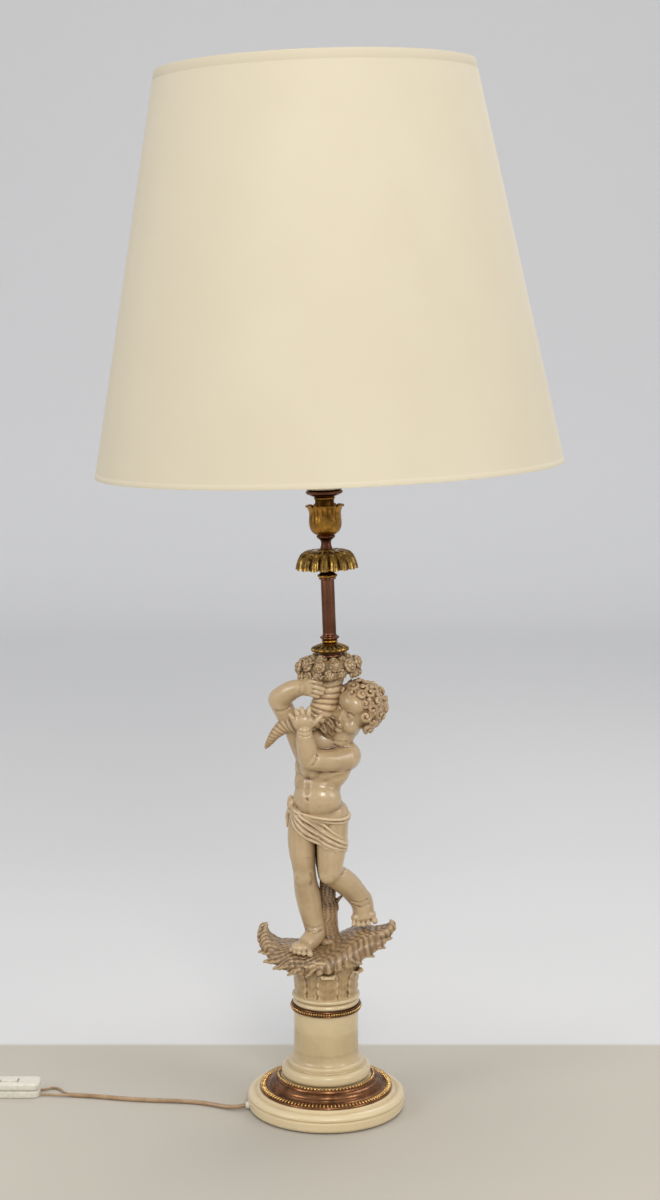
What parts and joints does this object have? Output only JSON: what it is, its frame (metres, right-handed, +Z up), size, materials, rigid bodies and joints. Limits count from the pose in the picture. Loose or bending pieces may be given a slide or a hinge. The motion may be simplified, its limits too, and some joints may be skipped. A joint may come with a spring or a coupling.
{
  "type": "figural table lamp",
  "caption": "Table lamp: a carved child figure holds a horn of plenty that carries a gilt stem, a lampholder and a tapered drum shade; flex with in-line switch and plug.",
  "frame": {"origin": "centre of the underside of the round base", "axes": "+Z up, -Y the figure's front, +X the viewer's right when facing the front"},
  "size_m": [0.6819, 0.4498, 1.0244],
  "materials": {
    "felt": "short wool felt",
    "ivory_resin": "turned ivory-toned composition, waxed, slightly yellowed",
    "carved_skin": "carved ivory-toned composition, waxed, brown in the hollows",
    "carved_dark": "carved composition with brown patina",
    "gilt_copper": "copper-toned gilt brass, worn",
    "gilt_brass": "old gilt brass, darkened in the hollows",
    "steel": "zinc-plated steel",
    "holder_metal": "brushed brass",
    "insulator": "glazed white insulator",
    "shade_fabric": "cream laminated cotton, fine weave",
    "white_wire": "white-coated wire",
    "bulb_glass": "frosted",
    "gold_flex": "clear sheath over gold-coloured strands",
    "white_plastic": "translucent white moulding",
    "pin_metal": "nickel-plated"
  },
  "bodies": {
    "root": {"base_felt": "felt", "lower_plinth": "ivory_resin", "upper_plinth": "ivory_resin", "gilt_step_ring": "gilt_copper", "column_drum": "ivory_resin", "drum_bead_ring": "gilt_brass", "central_tube": "steel", "base_washer": "steel", "base_nut": "steel", "leaf_platform": "carved_dark", "capital": "carved_dark", "torso": "carved_skin", "standing_leg": "carved_skin", "bent_leg": "carved_skin", "tree_stump": "carved_dark", "horn_of_plenty": "carved_dark", "flower_wreath": "carved_dark", "reaching_arm": "carved_skin", "folded_arm": "carved_skin", "head": "carved_skin", "hair": "carved_dark", "drape": "carved_skin", "foot_ring": "gilt_copper", "gadroon_collar": "gilt_brass", "lower_stem_ring": "gilt_copper", "stem_tube": "gilt_copper", "upper_stem_ring": "gilt_copper", "drip_pan": "gilt_brass", "stem_neck": "gilt_copper", "tulip_cup": "gilt_brass", "candle_nozzle": "gilt_brass", "holder_dish": "gilt_copper", "stem_threaded_tube": "steel", "coupler": "steel", "holder_nipple": "steel", "holder_skirt": "holder_metal", "holder_sleeve": "holder_metal", "holder_insert": "insulator", "holder_contact": "pin_metal", "lower_shade_ring": "holder_metal", "flex_bush": "white_plastic", "inner_lead": "gold_flex", "flex_run": "gold_flex", "split_cores": "gold_flex", "switch_lower_shell": "white_plastic", "switch_upper_shell": "white_plastic", "rocker_pin": "steel", "switch_screws": "steel", "flex_coil": "gold_flex", "flex_short_lead": "gold_flex", "flex_tail": "gold_flex", "plug_body": "white_plastic", "plug_pins": "pin_metal"},
    "shade": {"shade_cover": "shade_fabric", "shade_top_ring": "white_wire", "shade_fitter": "white_wire"},
    "shade_ring": {"upper_shade_ring": "holder_metal"},
    "bulb": {"bulb_cap": "pin_metal", "bulb_glass": "bulb_glass"},
    "rocker": {"switch_rocker": "white_plastic"}
  },
  "joints": [
    {"name": "shade_swivel", "type": "hinge", "parent": "root", "child": "shade", "pos_m": [-0.00303, 0, 0.65787], "axis": [-0.0366, 0, 0.9993], "continuous": true},
    {"name": "shade_ring_turn", "type": "hinge", "parent": "root", "child": "shade_ring", "pos_m": [-0.00303, 0, 0.65787], "axis": [-0.0366, 0, 0.9993], "continuous": true},
    {"name": "bulb_turn", "type": "hinge", "parent": "root", "child": "bulb", "pos_m": [-0.00303, 0, 0.65787], "axis": [-0.0366, 0, 0.9993], "range_deg": [-90, 0]},
    {"name": "rocker_tilt", "type": "hinge", "parent": "root", "child": "rocker", "pos_m": [-0.3225, 0.029, 0.0114], "axis": [0, 1, 0], "range_deg": [-8, 8]}
  ]
}
